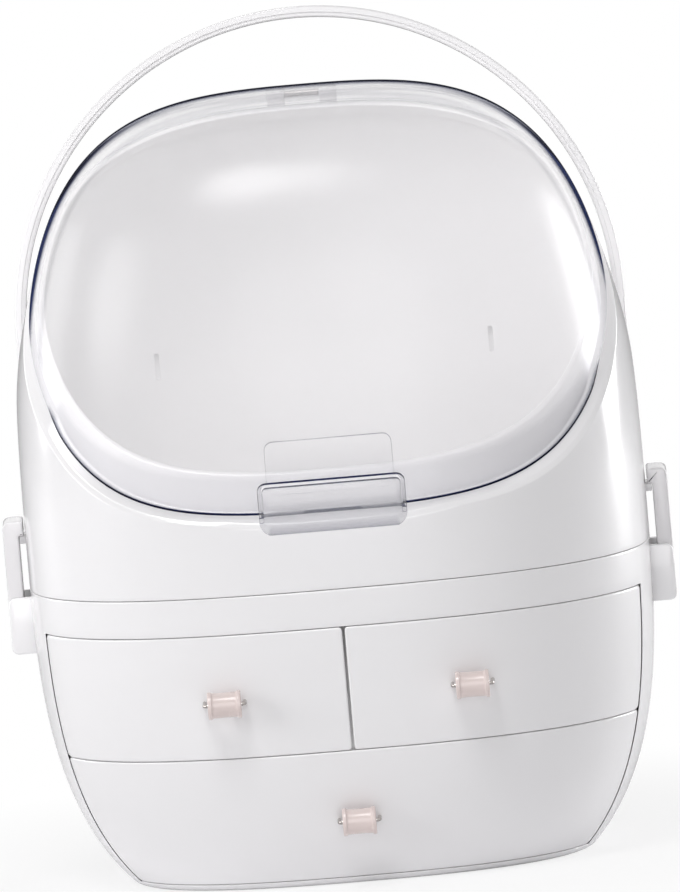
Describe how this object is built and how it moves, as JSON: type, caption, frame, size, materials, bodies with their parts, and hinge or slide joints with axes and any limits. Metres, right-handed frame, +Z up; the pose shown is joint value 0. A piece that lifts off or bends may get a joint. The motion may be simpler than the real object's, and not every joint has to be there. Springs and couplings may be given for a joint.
{
  "type": "dustproof makeup organizer",
  "caption": "Egg-shaped makeup organizer: drawers below, an open compartment under a clear hinged lid, bow carry handle and side latches.",
  "frame": {"origin": "middle of the flat base, on the ground", "axes": "+X to the object's right as seen from the front, +Y to the back (the front with the drawers faces -Y), +Z up"},
  "size_m": [0.3, 0.22, 0.3791],
  "materials": {
    "case": "gloss",
    "front": "gloss",
    "inner": "satin",
    "clear": "clear gloss",
    "handle": "satin gloss",
    "latch": "satin gloss",
    "roller": "satin",
    "wire": "polished"
  },
  "bodies": {
    "root": {"lower_case": "case", "drawer_frame": "inner", "upper_case": "case", "lid_hinge_pin": "wire", "handle_studs": "handle", "latch_pin_left": "wire", "latch_pin_right": "wire"},
    "drawer_left": {"drawer_left": "front", "pull_grip_left": "roller", "pull_wire_left": "wire", "pull_nuts_left": "wire"},
    "drawer_right": {"drawer_right": "front", "pull_grip_right": "roller", "pull_wire_right": "wire", "pull_nuts_right": "wire"},
    "drawer_wide": {"drawer_wide": "front", "pull_grip_wide": "roller", "pull_wire_wide": "wire", "pull_nuts_wide": "wire"},
    "lid": {"lid": "clear"},
    "handle": {"handle": "handle"},
    "latch_left": {"latch_left": "latch"},
    "latch_right": {"latch_right": "latch"}
  },
  "joints": [
    {"name": "drawer_left_slide", "type": "slide", "parent": "root", "child": "drawer_left", "axis": [0, -1, 0], "range_m": [0, 0.11]},
    {"name": "drawer_right_slide", "type": "slide", "parent": "root", "child": "drawer_right", "axis": [0, -1, 0], "range_m": [0, 0.11]},
    {"name": "drawer_wide_slide", "type": "slide", "parent": "root", "child": "drawer_wide", "axis": [0, -1, 0], "range_m": [0, 0.09]},
    {"name": "lid_hinge", "type": "hinge", "parent": "root", "child": "lid", "pos_m": [0, 0.0634, 0.34112], "axis": [-1, 0, 0], "range_deg": [0, 90]},
    {"name": "handle_fold", "type": "hinge", "parent": "root", "child": "handle", "pos_m": [0, 0.058, 0.175], "axis": [-1, 0, 0], "range_deg": [0, 90]},
    {"name": "latch_left_hinge", "type": "hinge", "parent": "root", "child": "latch_left", "pos_m": [-0.1455, 0, 0.1125], "axis": [0, -1, 0], "range_deg": [0, 100]},
    {"name": "latch_right_hinge", "type": "hinge", "parent": "root", "child": "latch_right", "pos_m": [0.1455, 0, 0.1125], "axis": [0, 1, 0], "range_deg": [0, 100]}
  ]
}
